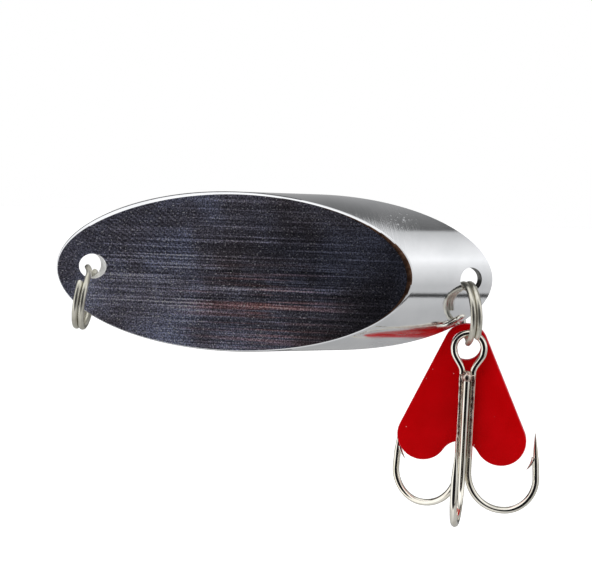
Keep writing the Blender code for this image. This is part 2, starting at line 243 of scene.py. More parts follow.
def make_chrome():
    f = Finish("bright_chrome", (0.85, 0.86, 0.875), 1.0, 0.06)
    lines = f.noise(f.place(scale=(7000, 300, 300), turn=ALONG_BAR), 1.0, detail=3)
    pits = f.noise(f.place(), 4200.0, detail=3, roughness=0.6)
    cloud = f.noise(f.place(), 260.0, detail=5)
    polish = f.span(f.mix(0.5, lines, cloud), 0.3, 0.7, 0.03, 0.12)
    # Scuffed low on the tail end, in streaks along the bar
    streaks = f.noise(f.place(scale=(260, 260, 2600), turn=ALONG_BAR), 1.0, detail=3)
    low_tail = f.span(f.spot((10.5, 0.4, -7.6), (9, 9, 2.6)), 0.0, 0.5)
    scuffed = f.both(low_tail, f.span(streaks, 0.4, 0.6, 0.2, 1.0))
    polish = f.mix(scuffed, polish, grey(SCUFFED_ROUGHNESS))
    # A small pitted patch high on the tail end
    patch = f.span(f.spot((8.5, -2.2, 6.5), (2.6, 2.6, 1.2)), 0.0, 0.7, 0.0, 0.8)
    pitted = f.both(patch, f.ramp(f.noise(f.place(), 2600.0, detail=3), [(0.55, 0.0), (0.68, 1.0)]))
    f.feed("Roughness", f.mix(pitted, polish, grey(PITTED_ROUGHNESS)))
    f.feed("Base Color", f.ramp(cloud, [(0.3, (0.785, 0.80, 0.82)), (0.6, (0.865, 0.875, 0.895))]))
    f.bump(f.mix(0.35, lines, pits), 0.16, SHALLOW)
    return f.material


chrome = make_chrome()
print("chrome nodes:", len(chrome.node_tree.nodes))

# %% [markdown]
# ## Bores, painted dark edge and worn brass
# The nose hole is near white inside, a painted reflection, and the tail hole is dark inside, a
# painted shade. A dark band along the rim's outer edge is a painted dark reflection, and at the
# tail end the plate has worn through to brass. All four could be painted into the chrome with
# masks.
# Giving them to faces of their own keeps their edges sharp, and one recipe with a fine grain serves
# them all.

# %% Bores, painted dark edge and worn brass
DEEPER = 0.03 * MM


def make_bare(name, light, dark, metallic, roughness):
    f = Finish(name, light, metallic, roughness)
    grain = f.noise(f.place(), 2400.0, detail=4)
    f.feed("Base Color", f.ramp(grain, [(0.35, dark), (0.65, light)]))
    f.bump(grain, 0.3, DEEPER)
    return f.material


# Painted reflection: the nose hole's wall is near white and barely metallic, so it looks bright.
nose_bore = make_bare("nose_bore", (0.97, 0.97, 0.96), (0.85, 0.85, 0.84), 0.15, 0.3)
# Painted shade: the tail hole's wall is dark.
tail_bore = make_bare("tail_bore", (0.30, 0.30, 0.29), (0.10, 0.10, 0.10), 1.0, 0.35)
# Painted dark reflection along the rim's outer edge.
painted_dark_edge = make_bare("painted_dark_edge", (0.20, 0.20, 0.21), (0.09, 0.09, 0.10), 1.0, 0.4)
worn_brass = make_bare("worn_brass", (0.25, 0.135, 0.085), (0.09, 0.045, 0.03), 1.0, 0.4)
print("bare metals:", ", ".join(m.name for m in (nose_bore, tail_bore, painted_dark_edge, worn_brass)))

# %% [markdown]
# ## Brushed flat
# The cut face is bare grey metal that looks nearly black because it faces the dark doorway. A
# picture could give its marks, but layers of stretched noise stay sharp at any distance: long
# brushing, fine grit, blue and warm patches, curved saw marks at the nose, and painted shade that
# darkens the end towards the tail.

# %% Brushed flat
ANY_DEPTH = 999


def make_flat():
    f = Finish("brushed_flat", (0.3, 0.3, 0.33), 1.0, 0.42)
    brush = f.noise(f.place(scale=(65, 65, 4600)), 1.0, detail=2, roughness=0.6)
    grit = f.noise(f.place(), 6000.0, detail=1)
    cloud = f.noise(f.place(), 130.0, detail=4)
    base = f.ramp(cloud, [
        (0.34, (0.150, 0.135, 0.160)), (0.48, (0.210, 0.205, 0.265)), (0.64, (0.31, 0.33, 0.47)),
    ])
    base = f.times(base, f.ramp(grit, [(0.28, 0.35), (0.50, 0.95), (0.66, 1.9)]))
    # Long strokes across the middle, fading towards the rim
    stroke = f.ramp(brush, [(0.30, 0.25), (0.44, 0.68), (0.54, 1.0), (0.64, 2.0), (0.74, 3.6)])
    middle = f.span(f.spot((-9, 0, -0.5), (19, ANY_DEPTH, 9)), 0.0, 0.5, 0.25, 1.0)
    base = f.times(base, f.mix(middle, grey(0.95), stroke))
    # Warm streaks low in the middle of the oval
    low = f.spot((-6, 0, -3.8), (11, ANY_DEPTH, 6))
    streak = f.noise(f.place(scale=(60, 60, 2300)), 1.0, detail=3)
    streak = f.ramp(streak, [(0.50, 0.0), (0.64, 1.0)])
    base = f.mix(f.both(low, streak), base, f.times(base, (2.4, 1.3, 1.0, 1)))
    # Curved saw marks towards the nose, on a darker ground
    saw = f.node("ShaderNodeTexWave", {
        "Vector": f.place(move=(0.034, 0, 0.016)), "Scale": 760.0, "Distortion": 2.2, "Detail": 2.0,
        "Detail Scale": 3.0,
    }, wave_type="RINGS", rings_direction="Y").outputs[0]
    nose = f.spot((-21, 0, 3.6), (9, ANY_DEPTH, 6))
    base = f.times(base, f.span(nose, 0.0, 0.6, 1.0, 0.62))
    base = f.mix(f.both(nose, saw), base, f.times(base, grey(2.3)))
    # Bright flecks
    fleck = f.ramp(f.noise(f.place(), 5600.0, detail=0), [(0.68, 0.0), (0.82, 0.8)])
    base = f.mix(1.0, base, fleck, "ADD")
    # Painted shade: darker towards the lower tail end
    base = f.times(base, f.span(f.along(f.where, (1, 0, -0.35)), -3.0 * MM, 7.2 * MM, 1.0, 0.24))
    # A darker cloud above the middle and a paler one low at the nose
    base = f.times(base, f.span(f.spot((-2, 0, 2.2), (9, ANY_DEPTH, 7)), 0.0, 0.7, 1.0, 0.5))
    base = f.times(base, f.span(f.spot((-20, 0, -4), (9, ANY_DEPTH, 6)), 0.0, 0.6, 1.0, 1.6))
    f.feed("Base Color", base)
    f.feed("Roughness", f.span(grit, 0.3, 0.7, 0.48, 0.60))
    f.bump(f.mix(0.5, brush, grit), 0.25, DEEPER)
    return f.material


brushed_flat = make_flat()
print("flat finish nodes:", len(brushed_flat.node_tree.nodes))

# %% [markdown]
# ## Ring, hook and braze metal
# All three are plated with nickel, which has a warm cast. One colour and one roughness would look
# like plastic on wire this thin, so clouds of a duller tone and a fine grain vary both. The rings
# are the dullest, the hooks nearly mirrors, and the braze is rough, with red-brown patches that are
# a painted reflection of the red tag.

# %% Ring, hook and braze metal
def make_wire(name, colour, dull, low, high, grain, rough):
    f = Finish(name, colour, 1.0, low)
    cloud = f.noise(f.place(), grain, detail=5)
    fine = f.noise(f.place(), grain * 9, detail=2)
    f.feed("Base Color", f.ramp(cloud, [(0.35, dull), (0.6, colour)]))
    f.feed("Roughness", f.span(fine, 0.3, 0.7, low, high))
    f.bump(fine, rough, SHALLOW)
    return f.material


ring_metal = make_wire(
    "ring_nickel", (0.78, 0.76, 0.67), dull=(0.58, 0.56, 0.48),
    low=0.28, high=0.42, grain=700.0, rough=0.04
)
hook_metal = make_wire(
    "hook_nickel", (0.97, 0.94, 0.85), dull=(0.86, 0.81, 0.70),
    low=0.02, high=0.07, grain=600.0, rough=0.1
)
# The braze's red-brown duller tone is a painted reflection of the red tag.
braze_metal = make_wire(
    "braze_metal", (0.80, 0.70, 0.62), dull=(0.24, 0.10, 0.08),
    low=0.08, high=0.30, grain=2200.0, rough=0.5
)
print("wire metals:", ring_metal.name, hook_metal.name, braze_metal.name)

# %% [markdown]
# ## Red plastic
# The tag is cut from smooth red sheet, with faint mottling and a few pale specks of dust.
# Subsurface scattering could soften it, but so thin a sheet shows little of that. Its cut edge is
# a little paler, a painted highlight of the light that the edge catches, so it has a finish of its
# own.

# %% Red plastic
def make_red():
    f = Finish("tag_red", (0.42, 0.002, 0.004), 0.0, 0.3)
    cloud = f.noise(f.place(), 420.0, detail=4)
    base = f.ramp(cloud, [(0.3, (0.365, 0.0002, 0.0012)), (0.7, (0.415, 0.0004, 0.0020))])
    dust = f.ramp(f.noise(f.place(), 2600.0, detail=0), [(0.84, 0.0), (0.87, 0.3)])
    f.feed("Base Color", f.mix(1.0, base, dust, "ADD"))
    fine = f.noise(f.place(), 3200.0, detail=3)
    f.feed("Roughness", f.span(fine, 0.3, 0.7, 0.26, 0.42))
    f.bump(fine, 0.08, DEEPER)
    f.set("Specular IOR Level", 0.015)
    return f.material


# The cut edge's paler red is a painted highlight, with noise across it.
def make_edge_highlight():
    f = Finish("tag_edge_highlight", (0.52, 0.02, 0.035), 0.0, 0.4)
    edge_highlight_noise = f.noise(f.place(), 2600.0, detail=2)
    base = f.ramp(edge_highlight_noise, [(0.4, (0.46, 0.010, 0.020)), (0.6, (0.60, 0.035, 0.055))])
    f.feed("Base Color", base)
    return f.material


red_plastic, red_edge_highlight = make_red(), make_edge_highlight()
print("tag finishes:", red_plastic.name, red_edge_highlight.name)

# %% [markdown]
# ## Spoon rims
# The spoon is a slanting slice of round bar. A bevel of one width would not do for its rims,
# because the cut meets the bar at a knife edge on one side and at a blunt one on the other. Each
# rim is rolled by hand instead: a short curve runs from the flat, round the edge and on to the
# side. It is widest at the upper nose, where the blank was ground most.

# %% Spoon rims
UP = Vector((0, 0, 1))
ROD_RADIUS, THICKNESS = 8.8 * MM, 4.85 * MM
ROD_AXIS = Vector((math.cos(CUT_ANGLE), math.sin(CUT_ANGLE), 0))
ROD_FACING = Vector((math.sin(CUT_ANGLE), -math.cos(CUT_ANGLE), 0))
ROLL_STEPS = 6
# Widths across a rim, in millimetres: everywhere, where it is ground, and at the worn tail end
PLAIN_RIM, GROUND_RIM, WORN_RIM = 0.16, 0.66, 0.2
# Where round the bar each rim is ground or worn widest, and how fast that falls away
FRONT_GRIND, BACK_GRIND = (math.radians(142), 7), (math.radians(20), 4)
WORN_AT, WORN_NARROWING = math.radians(8), 5
# How far out a knife edge starts, and how far from the rim the supporting loops lie, in millimetres
KNIFE_START, SUPPORT = 0.2, 0.1
LEAST_SLOPE, LEAST_ROUND, MOST_ROUND = 0.4, 0.3, 0.8
NUDGE = 0.01


def on_cut(turn, centre):
    start = ROD_RADIUS * (math.cos(turn) * ROD_FACING + math.sin(turn) * UP)
    return start + ROD_AXIS * ((centre - start).y / ROD_AXIS.y)


def rim_curve(turn, centre, inward_along):
    """Points from the flat, round the rim, to the side, at this turn round the bar."""
    edge = on_cut(turn, centre)
    tangent = on_cut(turn + NUDGE, centre) - on_cut(turn - NUDGE, centre)
    inward = Vector((0, 1, 0)).cross(tangent).normalized()
    if inward.dot(centre - edge) < 0:
        inward.negate()
    # A knife edge is ground back, so it starts a little further out
    keen = 0.5 - 0.5 * inward_along * math.cos(turn)
    edge -= inward * KNIFE_START * MM * keen**2
    widest, narrowing = FRONT_GRIND if inward_along > 0 else BACK_GRIND
    ground = (0.5 + 0.5 * math.cos(turn - widest)) ** narrowing
    inset = (PLAIN_RIM + GROUND_RIM * ground) * MM
    # The front rim is worn further over the flat at its tail end
    worn = max(0.0, math.cos(turn - WORN_AT)) ** WORN_NARROWING if inward_along > 0 else 0.0
    on_flat = edge + inward * (inset + WORN_RIM * MM * worn)
    # Along the bar, far enough for a slope of 45 degrees where the cut is sharp enough for one
    slope = ROD_AXIS.y + inward_along * ROD_AXIS.dot(inward)
    on_side = edge + ROD_AXIS * (inward_along * inset / max(slope, LEAST_SLOPE))
    middle = edge.lerp((on_flat + on_side) / 2, min(MOST_ROUND, LEAST_ROUND + keen))
    shares = [i / ROLL_STEPS for i in range(ROLL_STEPS + 1)]
    rim = [on_flat * (1 - t) ** 2 + middle * (2 * t * (1 - t)) + on_side * t**2 for t in shares]
    side_support = on_side + ROD_AXIS * (inward_along * SUPPORT * MM)
    return [on_flat + inward * SUPPORT * MM, *rim, side_support]


FRONT_CENTRE = -ROD_AXIS * (THICKNESS / math.sin(CUT_ANGLE))
print("points across a rim:", len(rim_curve(0.0, FRONT_CENTRE, 1)))

# %% [markdown]
# ## Meshes from numbers
# Every piece of this lure is a simple form whose sizes are known. The faces could be drawn by hand
# in edit mode, but bmesh makes the same faces on every run, and a size is then changed in one
# place.

# %% Meshes from numbers
def mesh_from(name, build):
    shape = bmesh.new()
    build(shape)
    bmesh.ops.recalc_face_normals(shape, faces=shape.faces)
    mesh = bpy.data.meshes.new(name)
    shape.to_mesh(mesh)
    shape.free()
    return mesh


def add_blank(name, build):
    """A plain object with this mesh. Blanks and drills are removed once they have been used."""
    blank = bpy.data.objects.new(name, mesh_from(name, build))
    bpy.context.scene.collection.objects.link(blank)
    return blank


# %% [markdown]
# ## Spoon blank
# The blank is the slice of bar before it is drilled. A cylinder could be cut with two slanting
# planes, but that would leave plain edges. Joining the two rolled rims by the round side keeps
# them, and lets each face take its finish from where it lies: the flat, the brass at the tail end,
# the painted dark reflection along the outer edge round the nose, or chrome.

# %% Spoon blank
BODY_SIDES = 288
SIDE_FINISH, FLAT_FINISH, BRASS_FINISH, EDGE_FINISH, NOSE_BORE, TAIL_BORE = range(6)
BRASS_AT, BRASS_STEPS, BRASS_FADE = math.radians(12), 5.6, 0.7
DARK_EDGE_UP_TO = 0.35


def brass_steps(turn):
    """How many steps of the front rim are worn to brass: most near the tail end."""
    return BRASS_STEPS * max(0.0, math.cos(turn - BRASS_AT)) ** WORN_NARROWING - BRASS_FADE


def rim_finish(step, turn, front):
    if step == 0:
        return FLAT_FINISH
    if front and step - 1 < brass_steps(turn):
        return BRASS_FINISH
    # The front rim's outer steps, except where they face the front, get the painted dark
    # reflection.
    if front and step >= ROLL_STEPS - 1 and math.cos(turn) < DARK_EDGE_UP_TO:
        return EDGE_FINISH
    return SIDE_FINISH


def fill_body(shape):
    turns = [2 * math.pi * k / BODY_SIDES for k in range(BODY_SIDES)]
    sides = []
    for centre, inward_along in ((FRONT_CENTRE, 1), (Vector(), -1)):
        curves = [rim_curve(t, centre, inward_along) for t in turns]
        loops = [[shape.verts.new(c[i]) for c in curves] for i in range(len(curves[0]))]
        shape.faces.new(loops[0]).material_index = FLAT_FINISH
        for i, (low, high) in enumerate(zip(loops, loops[1:])):
            for k, turn in enumerate(turns):
                face = shape.faces.new((low[k - 1], low[k], high[k], high[k - 1]))
                face.material_index = rim_finish(i, turn, inward_along > 0)
        sides.append(loops[-1])
    for k in range(BODY_SIDES):
        shape.faces.new((sides[0][k - 1], sides[0][k], sides[1][k], sides[1][k - 1]))


blank = add_blank("blank", fill_body)
for finish in (chrome, brushed_flat, worn_brass, painted_dark_edge, nose_bore, tail_bore):
    blank.data.materials.append(finish)
print("blank has", len(blank.data.polygons), "faces")

# %% [markdown]
# ## Round tubes
# The rings and hooks are bent wire, and a drill is a straight rod. Blender's curves could make them
# all, but a tube swept in code can change its radius at every point, which a hook's taper needs.

# %% Round tubes
DRILL_SIDES, RING_SIDES, HOOK_SIDES = 96, 20, 24


def sweep(shape, points, radii, sides, squash=1.0):
    """A closed tube along points. squash flattens it across the first side direction."""
    rings, side = [], None
    for i, point in enumerate(points):
        along = (points[min(i + 1, len(points) - 1)] - points[max(i - 1, 0)]).normalized()
        if side is None:
            side = along.orthogonal().normalized()
        side = (side - along * side.dot(along)).normalized()
        across = along.cross(side)
        turns = (2 * math.pi * k / sides for k in range(sides))
        rings.append([
            shape.verts.new(point + radii[i] * (side * math.cos(t) * squash + across * math.sin(t)))
            for t in turns
        ])
    for low, high in zip(rings, rings[1:]):
        for k in range(sides):
            shape.faces.new((low[k], low[k - 1], high[k - 1], high[k]))
    shape.faces.new(rings[0])
    shape.faces.new(reversed(rings[-1]))


print("sides of a drill, a ring and a hook:", DRILL_SIDES, RING_SIDES, HOOK_SIDES)

# %% [markdown]
# ## Pieces on the frame
# On the real lure each piece hangs on another and swings. Parenting could copy that, but the frame
# already has the bodies and their hinges. So each mesh gets its finish, the body that it rides on
# and its material slot, and the solid that it stands for is hidden, all in one call.

# %% Pieces on the frame
def applied(blank):
    """The mesh that an object's modifiers give."""
    depsgraph = bpy.context.evaluated_depsgraph_get()
    return bpy.data.meshes.new_from_object(blank.evaluated_get(depsgraph))


def add_piece(name, mesh, finishes, body, node, sharp):
    piece = bpy.data.objects.new(name, mesh)
    bpy.context.scene.collection.objects.link(piece)
    for finish in finishes:
        mesh.materials.append(finish)
    mesh.shade_smooth()
    mesh.set_sharp_from_angle(angle=math.radians(sharp))
    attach(piece, body)
    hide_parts(node)
    print(name, len(mesh.polygons), "faces on", body)


# %% [markdown]
# ## Drilled holes
# A hole at each end takes a split ring. Both are drilled square to the bar, so they cross the flats
# at a slant. Building that slanted edge into the blank would be hard, while a boolean with a round
# drill cuts it exactly, and the drill's finish is left on the wall of the hole.

# %% Drilled holes
HOLE_RADIUS, NOSE_INSET, TAIL_INSET = 1.38 * MM, 4.2 * MM, 3.5 * MM
OVAL = ROD_RADIUS / math.sin(CUT_ANGLE)
NOSE_HOLE = FRONT_CENTRE - Vector((OVAL - NOSE_INSET, 0, 0))
NOSE_HOLE -= ROD_FACING * (NOSE_INSET * ROD_AXIS.y / 2)
TAIL_HOLE = Vector((OVAL - TAIL_INSET, 0, 0)) + ROD_FACING * (TAIL_INSET * ROD_AXIS.y / 2)
DRILLS = [("nose_drill", NOSE_HOLE, NOSE_BORE), ("tail_drill", TAIL_HOLE, TAIL_BORE)]


def fill_drill(shape, place, finish):
    reach = ROD_FACING * ROD_RADIUS
    sweep(shape, [place - reach, place + reach], [HOLE_RADIUS] * 2, DRILL_SIDES)
    for face in shape.faces:
        face.material_index = finish


def drill_blank():
    drills = []
    for name, place, finish in DRILLS:
        drill = add_blank(name, lambda s: fill_drill(s, place, finish))
        cut = blank.modifiers.new(name, "BOOLEAN")
        cut.object, cut.operation = drill, "DIFFERENCE"
        drills.append(drill)
    mesh = applied(blank)
    for old in [blank, *drills]:
        bpy.data.objects.remove(old)
    return mesh


add_piece("spoon", drill_blank(), [], "spoon", "spoon_body", sharp=28)

# %% [markdown]
# ## Split rings
# One wire goes round twice and crosses from one turn to the other at a joggle, with both ends
# beside it. Two plain rings would look nearly the same from the front, but the joggle and the cut
# ends show from the side.

# %% Split rings
RING_RADIUS, RING_WIRE, RING_PITCH = 3.34 * MM, 0.66 * MM, 0.68 * MM
JOGGLE, END_GAP = math.radians(50), math.radians(42)
RING_STEPS, CUT_END = 220, 0.42


def ease(share):
    """A share from 0 to 1 that starts and ends gently."""
    return share * share * (3 - 2 * share)


def ring_points(spin):
    start, end = -math.pi + END_GAP, 3 * math.pi - END_GAP
    points = []
    for i in range(RING_STEPS + 1):
        t = start + (end - start) * i / RING_STEPS
        share = min(max((t - math.pi) / JOGGLE + 0.5, 0.0), 1.0)
        aside = RING_PITCH * (0.5 - ease(share))
        across, up = RING_RADIUS * math.sin(t + spin), RING_RADIUS * math.cos(t + spin)
        points.append(Vector((aside, across, up)))
    return points


def make_ring(name, node, body, yaw, lean, spin):
    low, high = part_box(node)
    centre = (Vector(low) + Vector(high)) / 2
    turn = Matrix.Rotation(math.radians(yaw), 3, "Z") @ Matrix.Rotation(math.radians(-lean), 3, "Y")
    points = [centre + turn @ p for p in ring_points(math.radians(spin))]
    radii = [RING_WIRE / 2] * len(points)
    radii[0] = radii[-1] = RING_WIRE * CUT_END
    mesh = mesh_from(name, lambda s: sweep(s, points, radii, RING_SIDES))
    add_piece(name, mesh, [ring_metal], body, node, sharp=50)


make_ring("nose_ring_wire", "nose_split_ring", "nose_ring", yaw=3.5, lean=-8, spin=168)
make_ring("tail_ring_wire", "tail_split_ring", "tail_ring", yaw=12, lean=4, spin=0)

# %% [markdown]
# ## Hook bends
# A treble has three bends, each a wide curve that turns up to a leaning point and tapers to a
# needle. They could be modelled one by one, but the real ones are bent on one tool. So the bend is
# drawn once as a flat profile and set at three angles.

# %% Hook bends
HOOK_WIRE, HOOK_GAP = 0.78 * MM, 8.1 * MM
EYE_DROP, SHANK_LENGTH = 2.75 * MM, 11.3 * MM
SHANK_FOOT = -EYE_DROP - SHANK_LENGTH
BEND_IN, BEND_OUT = 4.6 * MM, 3.5 * MM
POINT_RISE, POINT_LEAN = 5.3 * MM, math.radians(4)
TAPER, TAPER_POWER, NEEDLE = 3.6 * MM, 0.75, 0.02 * MM
BEND_STEPS, POINT_STEPS = 28, 24


def arc(centre, radius, start, end, steps):
    turns = [start + (end - start) * i / steps for i in range(steps + 1)]
    return [(centre[0] + radius * math.cos(t), centre[1] + radius * math.sin(t)) for t in turns]


def bend_profile():
    low, flat_end = SHANK_FOOT - BEND_IN, HOOK_GAP - BEND_OUT
    profile = arc((BEND_IN, SHANK_FOOT), BEND_IN, math.pi, 1.5 * math.pi, BEND_STEPS)
    profile += arc((flat_end, low + BEND_OUT), BEND_OUT, -math.pi / 2, POINT_LEAN, BEND_STEPS)[1:]
    foot = profile[-1]
    rises = [POINT_RISE * (i + 1) / POINT_STEPS for i in range(POINT_STEPS)]
    inward, upward = math.sin(POINT_LEAN), math.cos(POINT_LEAN)
    profile += [(foot[0] - inward * r, foot[1] + upward * r) for r in rises]
    tip = profile[-1][1]
    radii = []
    for out, height in profile:
        below = min(1.0, (tip - height) / TAPER) if out > flat_end else 1.0
        radii.append(max(NEEDLE, HOOK_WIRE / 2 * below**TAPER_POWER))
    return profile, radii


def outward(azimuth):
    return Vector((math.sin(azimuth), -math.cos(azimuth), 0))


def arm_points(azimuth, leg):
    profile, radii = bend_profile()
    return [leg + outward(azimuth) * o + UP * h for o, h in profile], radii


print("points along a bend:", len(bend_profile()[0]))

# %% [markdown]
# ## Eye, shanks and barbs
# The wire of the double hook runs up one shank, round the eye and down the other. Each barb is a
# sliver cut up from the wire. A cut could be modelled with a boolean, but a thin curved tube that
# starts inside the wire gives the same shape with clean faces.

# %% Eye, shanks and barbs
EYE_INNER, LEG_SPACING = 1.3 * MM, 1.2 * MM
EYE_RADIUS = EYE_INNER + HOOK_WIRE / 2
EYE_WRAP, EYE_STEPS, NECK_STEPS = math.radians(205), 60, 20
LEG = LEG_SPACING / 2
# In millimetres: a barb's drop below the tip, its length, and its lift and radius at both ends
BARB_DROP, BARB_LENGTH = 2.9, 1.4
BARB_START, BARB_LIFT, BARB_RADIUS, BARB_TIP = 0.02, 0.80, 0.30, 0.015
BARB_CURL, BARB_TAPER, BARB_FLATTEN = 1.6, 0.8, 0.8
BARB_STEPS, BARB_SIDES = 8, 12


def eye_points():
    loop = arc((0, 0), EYE_RADIUS, (math.pi - EYE_WRAP) / 2, (math.pi + EYE_WRAP) / 2, EYE_STEPS)
    neck = []
    for i in range(1, NECK_STEPS):
        share = i / NECK_STEPS
        out = LEG + (loop[0][0] - LEG) * ease(share)
        neck.append((out, -EYE_DROP + (loop[0][1] + EYE_DROP) * share))
    left = [(-x, z) for x, z in reversed(neck)]
    return [Vector((x, 0, z)) for x, z in neck + loop + left]


def shank_points(leg, top, steps=16):
    return [leg + UP * (SHANK_FOOT + (top - SHANK_FOOT) * (i + 1) / steps) for i in range(steps)]


def fill_barb(shape, azimuth, leg):
    """A curved sliver that lifts from the wire as it runs down from the tip."""
    tip = arm_points(azimuth, leg)[0][-1]
    points, radii = [], []
    for i in range(BARB_STEPS + 1):
        share = i / BARB_STEPS
        down = BARB_DROP + BARB_LENGTH * share
        lift = BARB_START + BARB_LIFT * share**BARB_CURL
        points.append(tip - UP * down * MM - outward(azimuth) * lift * MM)
        radii.append((BARB_RADIUS * (1 - share) ** BARB_TAPER + BARB_TIP) * MM)
    sweep(shape, points, radii, BARB_SIDES, squash=BARB_FLATTEN)


print("points round the eye:", len(eye_points()))

# %% [markdown]
# ## Treble hook
# The double hook is one wire from point to point. Its arms, shanks and eye could be separate tubes,
# but one sweep leaves no faces hidden inside the metal. The third hook is a wire of its own that
# lies in the groove in front of the two shanks, just clear of both.

# %% Treble hook
EYE_PLACE = Vector((17.07956, -0.93618, -7.76147)) * MM
TO_HOOK = Matrix.Translation(EYE_PLACE) @ Matrix.Rotation(math.radians(-10.5), 4, "Z")
ARM_SPREAD = math.radians(112)
WIRE_CLEARANCE, THIRD_DROP, THIRD_END = 0.06 * MM, 0.35 * MM, 0.36
THIRD = math.sqrt((HOOK_WIRE + WIRE_CLEARANCE) ** 2 - LEG**2)
RIGHT_LEG, LEFT_LEG, FRONT_LEG = Vector((LEG, 0, 0)), Vector((-LEG, 0, 0)), Vector((0, -THIRD, 0))


def fill_double(shape):
    right, radii = arm_points(ARM_SPREAD, RIGHT_LEG)
    left, _ = arm_points(-ARM_SPREAD, LEFT_LEG)
    up, down = shank_points(RIGHT_LEG, -EYE_DROP), shank_points(LEFT_LEG, -EYE_DROP)[::-1]
    middle = up + eye_points() + down
    radii = radii[::-1] + [HOOK_WIRE / 2] * len(middle) + radii
    sweep(shape, right[::-1] + middle + left, radii, HOOK_SIDES)


def fill_third(shape):
    arm, radii = arm_points(0.0, FRONT_LEG)
    shank = shank_points(FRONT_LEG, -EYE_DROP - THIRD_DROP)
    radii = radii[::-1] + [HOOK_WIRE / 2] * len(shank)
    radii[-1] = HOOK_WIRE * THIRD_END
    sweep(shape, arm[::-1] + shank, radii, HOOK_SIDES)


def make_hook(name, node, fill, barbs):
    def build(shape):
        fill(shape)
        for azimuth, leg in barbs:
            fill_barb(shape, azimuth, leg)
        bmesh.ops.transform(shape, matrix=TO_HOOK, verts=shape.verts)
    add_piece(name, mesh_from(name, build), [hook_metal], "treble", node, sharp=60)


side_arms = [(ARM_SPREAD, RIGHT_LEG), (-ARM_SPREAD, LEFT_LEG)]
make_hook("double_hook_wire", "double_hook", fill_double, side_arms)
make_hook("third_hook_wire", "third_hook", fill_third, [(0.0, FRONT_LEG)])

# %% [markdown]
# ## Braze
# Molten metal has run down the two front grooves and set in a bead over the third wire's upper end.
# Metaballs could melt such shapes together. Three lumpy tubes, remeshed into one and smoothed,
# follow the grooves better.

# %% Braze
# In millimetres: the run's top below the eye's neck, its length, and its radius at the top
RUN_TOP, RUN_LENGTH, RUN_RADIUS, RUN_STEPS = 0.2, 9.5, 0.24, 39
RUN_WOBBLE, RUN_THINNING, RUN_ASIDE, RUN_BACK = 0.05, 0.09, 0.10, 0.22
WOBBLE_APART, WOBBLE_RATE, WOBBLE_ROW = 3.1, 9, 0.4
# And the bead's place, length and radius
BEAD_BACK, BEAD_FORWARD, BEAD_TOP, BEAD_LENGTH = 0.28, 0.30, 0.22, 1.3
BEAD_END, BEAD_BULGE, BEAD_STEPS = 0.16, 0.42, 12
RUN_SIDES, BEAD_SIDES = 14, 16
MELT_VOXEL, SOFT_TIMES, SOFT_SHARE = 0.07 * MM, 6, 0.5


def fill_run(shape, side):
    points, radii = [], []
    for i in range(RUN_STEPS + 1):
        share = i / RUN_STEPS
        z = -EYE_DROP - (RUN_TOP + RUN_LENGTH * share) * MM
        wobble = noise.noise(Vector((side * WOBBLE_APART, share * WOBBLE_RATE, WOBBLE_ROW)))
        points.append(Vector((side * (LEG + RUN_ASIDE * MM), -THIRD + RUN_BACK * MM, z)))
        radii.append((RUN_RADIUS + RUN_WOBBLE * wobble - RUN_THINNING * share) * MM)
    sweep(shape, points, radii, RUN_SIDES)


def fill_bead(shape):
    points, radii = [], []
    for i in range(BEAD_STEPS + 1):
        share = i / BEAD_STEPS
        y = -THIRD + (BEAD_BACK - BEAD_FORWARD * share) * MM
        z = -EYE_DROP + (BEAD_TOP - BEAD_LENGTH * share) * MM
        points.append(Vector((0, y, z)))
        radii.append((BEAD_END + BEAD_BULGE * math.sin(math.pi * (i + 1) / (BEAD_STEPS + 3))) * MM)
    sweep(shape, points, radii, BEAD_SIDES)


def fill_braze(shape):
    for side in (-1, 1):
        fill_run(shape, side)
    fill_bead(shape)
    bmesh.ops.transform(shape, matrix=TO_HOOK, verts=shape.verts)


def make_braze():
    lumps = add_blank("lumps", fill_braze)
    melt = lumps.modifiers.new("melt", "REMESH")
    melt.mode, melt.voxel_size = "VOXEL", MELT_VOXEL
    soft = lumps.modifiers.new("soft", "SMOOTH")
    soft.iterations, soft.factor = SOFT_TIMES, SOFT_SHARE
    mesh = applied(lumps)
    bpy.data.objects.remove(lumps)
    add_piece("braze_run", mesh, [braze_metal], "treble", "braze_bead", sharp=180)


make_braze()

# %% [markdown]
# ## Tag outline
# A flat plastic tag hangs on the hook's eye, with two round lobes below. Its outline could be drawn
# point by point, but it is made only of arcs and their tangents, so a few radii give it exactly.

# %% Tag outline
TOP_STEPS, LOBE_STEPS, NOTCH_STEPS = 24, 48, 20


def tag_outline(top_r=2.5, lobe_r=2.9, spread=4.45, drop=10.7, notch_drop=11.1):
    reach, slope = math.hypot(spread, drop), math.atan2(-drop, spread)
    tangent = slope + math.acos((top_r - lobe_r) / reach)
    rise = notch_drop - drop
    notch = (spread**2 + rise**2 - lobe_r**2) / (2 * (lobe_r - rise))
    hollow_centre = (0.0, -notch_drop - notch)
    meet = math.atan2(hollow_centre[1] + drop, -spread)
    half = arc((0, 0), top_r, math.pi / 2, tangent, TOP_STEPS)
    half += arc((spread, -drop), lobe_r, tangent, meet, LOBE_STEPS)
    half += arc(hollow_centre, notch, meet + math.pi, math.pi / 2, NOTCH_STEPS)[1:]
    return [(x * MM, z * MM) for x, z in half + [(-x, z) for x, z in reversed(half[1:-1])]]


print("points round the tag:", len(tag_outline()))

# %% [markdown]
# ## Red tag
# The tag is cut from plastic sheet, so it has two flat faces, a hole and a slightly soft edge.
# A solidify modifier could thicken one face, but building both sides by hand keeps the hole open
# and lets a bevel soften only the sharp rims. The cut edge then takes its own paler finish, a
# painted highlight.

# %% Red tag
TAG_THICKNESS, TAG_HOLE, TAG_BEVEL = 0.9 * MM, 1.66 * MM, 0.12 * MM
TAG_TURN, HOLE_STEPS = math.radians(-8), 64
TAG_PIVOT = next(Vector(j["pos_m"]) for j in frame["joints"] if j["name"] == "tag_swing")
SHARP_RIM, FLAT_ENOUGH = 1.2, 0.9


